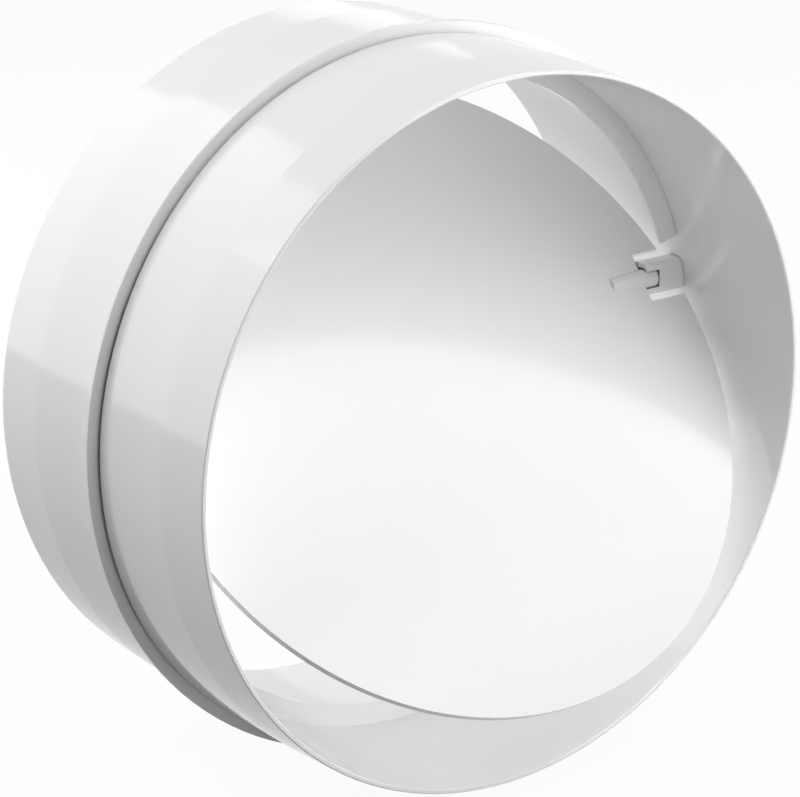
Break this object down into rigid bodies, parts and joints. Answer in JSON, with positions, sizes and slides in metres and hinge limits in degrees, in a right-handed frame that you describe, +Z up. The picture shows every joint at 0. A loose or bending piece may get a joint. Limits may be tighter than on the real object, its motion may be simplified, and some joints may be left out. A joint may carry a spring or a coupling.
{
  "type": "duct backdraft damper",
  "caption": "Round in-line duct damper: a short white plastic tube with an outer stop rib, holding a flat round flap on side pins that opens with the air stream and falls shut without it.",
  "frame": {"origin": "on the tube's axis, in the rear face of the outer rib, where the inlet duct's end stops", "axes": "+Y along the tube's axis towards the inlet (rear) end, against the air stream; +Z up, with the flap's pivot above the axis; +X to the right seen from the outlet (front)"},
  "size_m": [0.1538, 0.0908, 0.1538],
  "materials": {
    "white_plastic": "smooth glossy moulded plastic"
  },
  "bodies": {
    "duct": {"duct_body": "white_plastic"},
    "flap_body": {"flap": "white_plastic"}
  },
  "joints": [
    {"name": "flap_pivot", "type": "hinge", "parent": "duct", "child": "flap_body", "pos_m": [0, -0.002, 0.0129], "axis": [-1, 0, 0], "range_deg": [-39.4, 40.6]}
  ]
}
